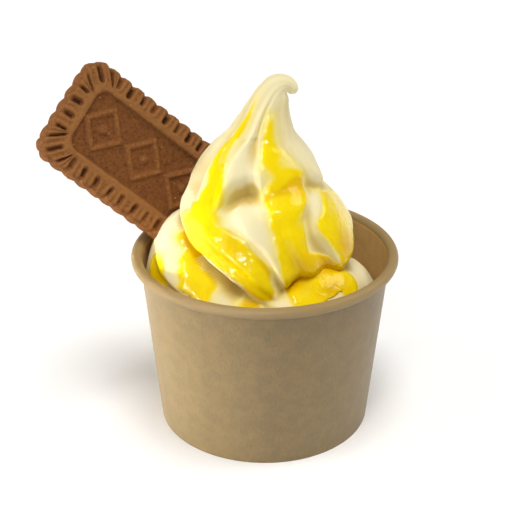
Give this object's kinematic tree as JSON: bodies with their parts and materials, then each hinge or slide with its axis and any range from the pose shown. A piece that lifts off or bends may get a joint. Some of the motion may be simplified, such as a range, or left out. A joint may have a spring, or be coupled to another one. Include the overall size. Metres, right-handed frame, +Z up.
{
  "type": "lemon yogurt sundae",
  "caption": "Swirl of soft frozen yogurt with lemon sauce in a round paper cup, a fluted spiced biscuit leaning out over the rim.",
  "frame": {"origin": "centre of the object's own bounding box on the surface that it stands on; the cup's axis is 14.85 mm from it along +X, because the biscuit leans out towards -X", "axes": "+Z up, along the cup's axis; -Y is the front that the picture shows, and the biscuit leans out to the left of it, towards -X"},
  "size_m": [0.1196, 0.09, 0.1227],
  "materials": {
    "brown_paper": "matte",
    "brown_board": "matte",
    "frozen_yogurt": "satin",
    "lemon_sauce": "gloss",
    "baked_biscuit": "matte"
  },
  "bodies": {
    "root": {"cup_wall": "brown_paper", "cup_base": "brown_board", "yogurt_swirl": "frozen_yogurt", "spiced_biscuit": "baked_biscuit"}
  },
  "joints": []
}
